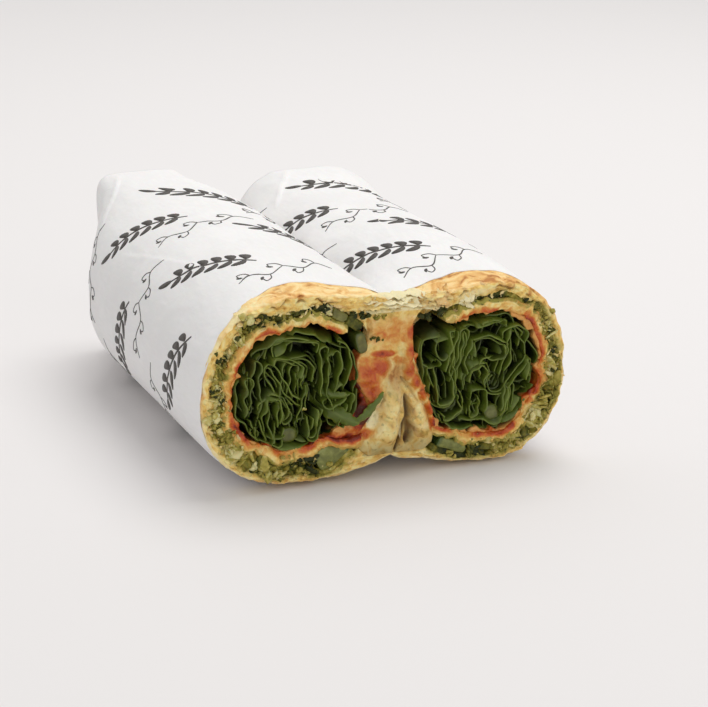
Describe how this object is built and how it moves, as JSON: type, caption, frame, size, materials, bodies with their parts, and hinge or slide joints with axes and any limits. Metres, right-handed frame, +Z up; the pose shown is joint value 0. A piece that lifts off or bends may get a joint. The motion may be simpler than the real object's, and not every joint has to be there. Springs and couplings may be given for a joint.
{
  "type": "salad naan wrap in paper",
  "caption": "Rolled naan filled with salad leaves, herb paste and tomato sauce, cut nearly through, folded open and held in a printed paper sleeve.",
  "frame": {"origin": "middle of the underside of the wrap's bounding box, on the surface that it rests on", "axes": "+Z up; the rolls run back along +Y and the cut faces look along -Y; +X to the right of someone who looks at the cut faces"},
  "size_m": [0.1182, 0.152, 0.06],
  "materials": {
    "naan_bread": "soft baked flatbread, golden brown skin and pale yellow crumb",
    "wrap_paper": "thin matt white food paper with a dark grey print",
    "herb_paste": "moist olive green herb paste with pale cheese crumbs",
    "tomato_sauce": "moist red orange tomato sauce",
    "cucumber_flesh": "moist pale green cucumber",
    "salad_leaf": "dark green folded salad leaves, satin",
    "leaf_stalk": "pale green moist stalk",
    "green_pepper": "glossy green pepper slice"
  },
  "bodies": {
    "root": {"naan": "naan_bread", "paper_wrap": "wrap_paper", "herb_filling_left": "herb_paste", "herb_filling_right": "herb_paste", "herb_pocket_left": "herb_paste", "tomato_sauce_left": "tomato_sauce", "tomato_sauce_right": "tomato_sauce", "cucumber_left": "cucumber_flesh", "cucumber_right": "cucumber_flesh", "salad_leaves_left": "salad_leaf", "salad_leaves_right": "salad_leaf", "stalk_left": "leaf_stalk", "stalk_right": "leaf_stalk", "green_pepper_upper": "green_pepper", "green_pepper_lower": "green_pepper"}
  },
  "joints": []
}
